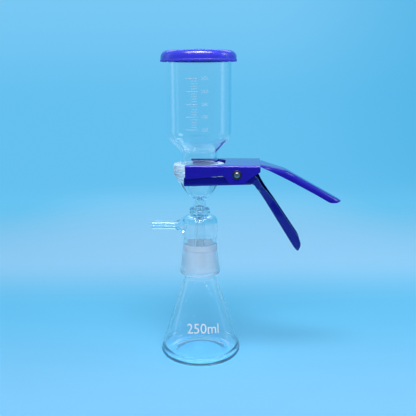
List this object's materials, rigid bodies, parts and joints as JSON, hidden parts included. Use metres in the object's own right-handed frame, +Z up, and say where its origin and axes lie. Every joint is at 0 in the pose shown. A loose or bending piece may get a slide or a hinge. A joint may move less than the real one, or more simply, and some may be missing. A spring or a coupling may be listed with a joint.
{
  "type": "vacuum filtration unit",
  "caption": "Glass vacuum filtration unit: a lidded graduated funnel and a filter base with a hose arm, held together by a blue spring clamp, on a conical flask.",
  "frame": {"origin": "centre of the flask's foot, on the surface that the unit stands on", "axes": "+Z up along the axis of the flask, filter base and funnel; +X towards the clamp's handles; the hose arm points along -X"},
  "size_m": [0.2217, 0.0964, 0.3647],
  "materials": {
    "borosilicate_glass": "clear, ground matt on the faces of the taper joint",
    "sintered_glass": "white, porous",
    "blue_plastic": "glossy moulded",
    "blue_anodised_sheet": "satin blue anodised",
    "bright_steel": "bright",
    "spring_steel": "drawn wire",
    "black_steel": "blackened"
  },
  "bodies": {
    "glassware": {"flask": "borosilicate_glass", "filter_base": "borosilicate_glass", "frit_disc": "sintered_glass", "funnel_cup": "borosilicate_glass", "funnel_lid": "blue_plastic", "clamp_pivot_pin": "bright_steel", "pin_retainer_front": "black_steel", "pin_retainer_back": "black_steel", "clamp_spring": "spring_steel"},
    "upper_jaw": {"clamp_upper_jaw": "blue_anodised_sheet"},
    "lower_jaw": {"clamp_lower_jaw": "blue_anodised_sheet"}
  },
  "joints": [
    {"name": "upper_jaw_pivot", "type": "hinge", "parent": "glassware", "child": "upper_jaw", "pos_m": [0.0446, 0, 0.2268], "axis": [0, 1, 0], "range_deg": [0, 13], "stiffness_Nm_per_rad": 1.2, "springref_deg": -28.65, "deforming": ["clamp_spring"]},
    {"name": "lower_jaw_pivot", "type": "hinge", "parent": "glassware", "child": "lower_jaw", "pos_m": [0.0446, 0, 0.2268], "axis": [0, 1, 0], "range_deg": [-13, 0], "stiffness_Nm_per_rad": 1.2, "springref_deg": 28.65, "deforming": ["clamp_spring"]}
  ],
  "couplings": [
    {"joint": "lower_jaw_pivot", "follows": "upper_jaw_pivot", "ratio": -1}
  ]
}
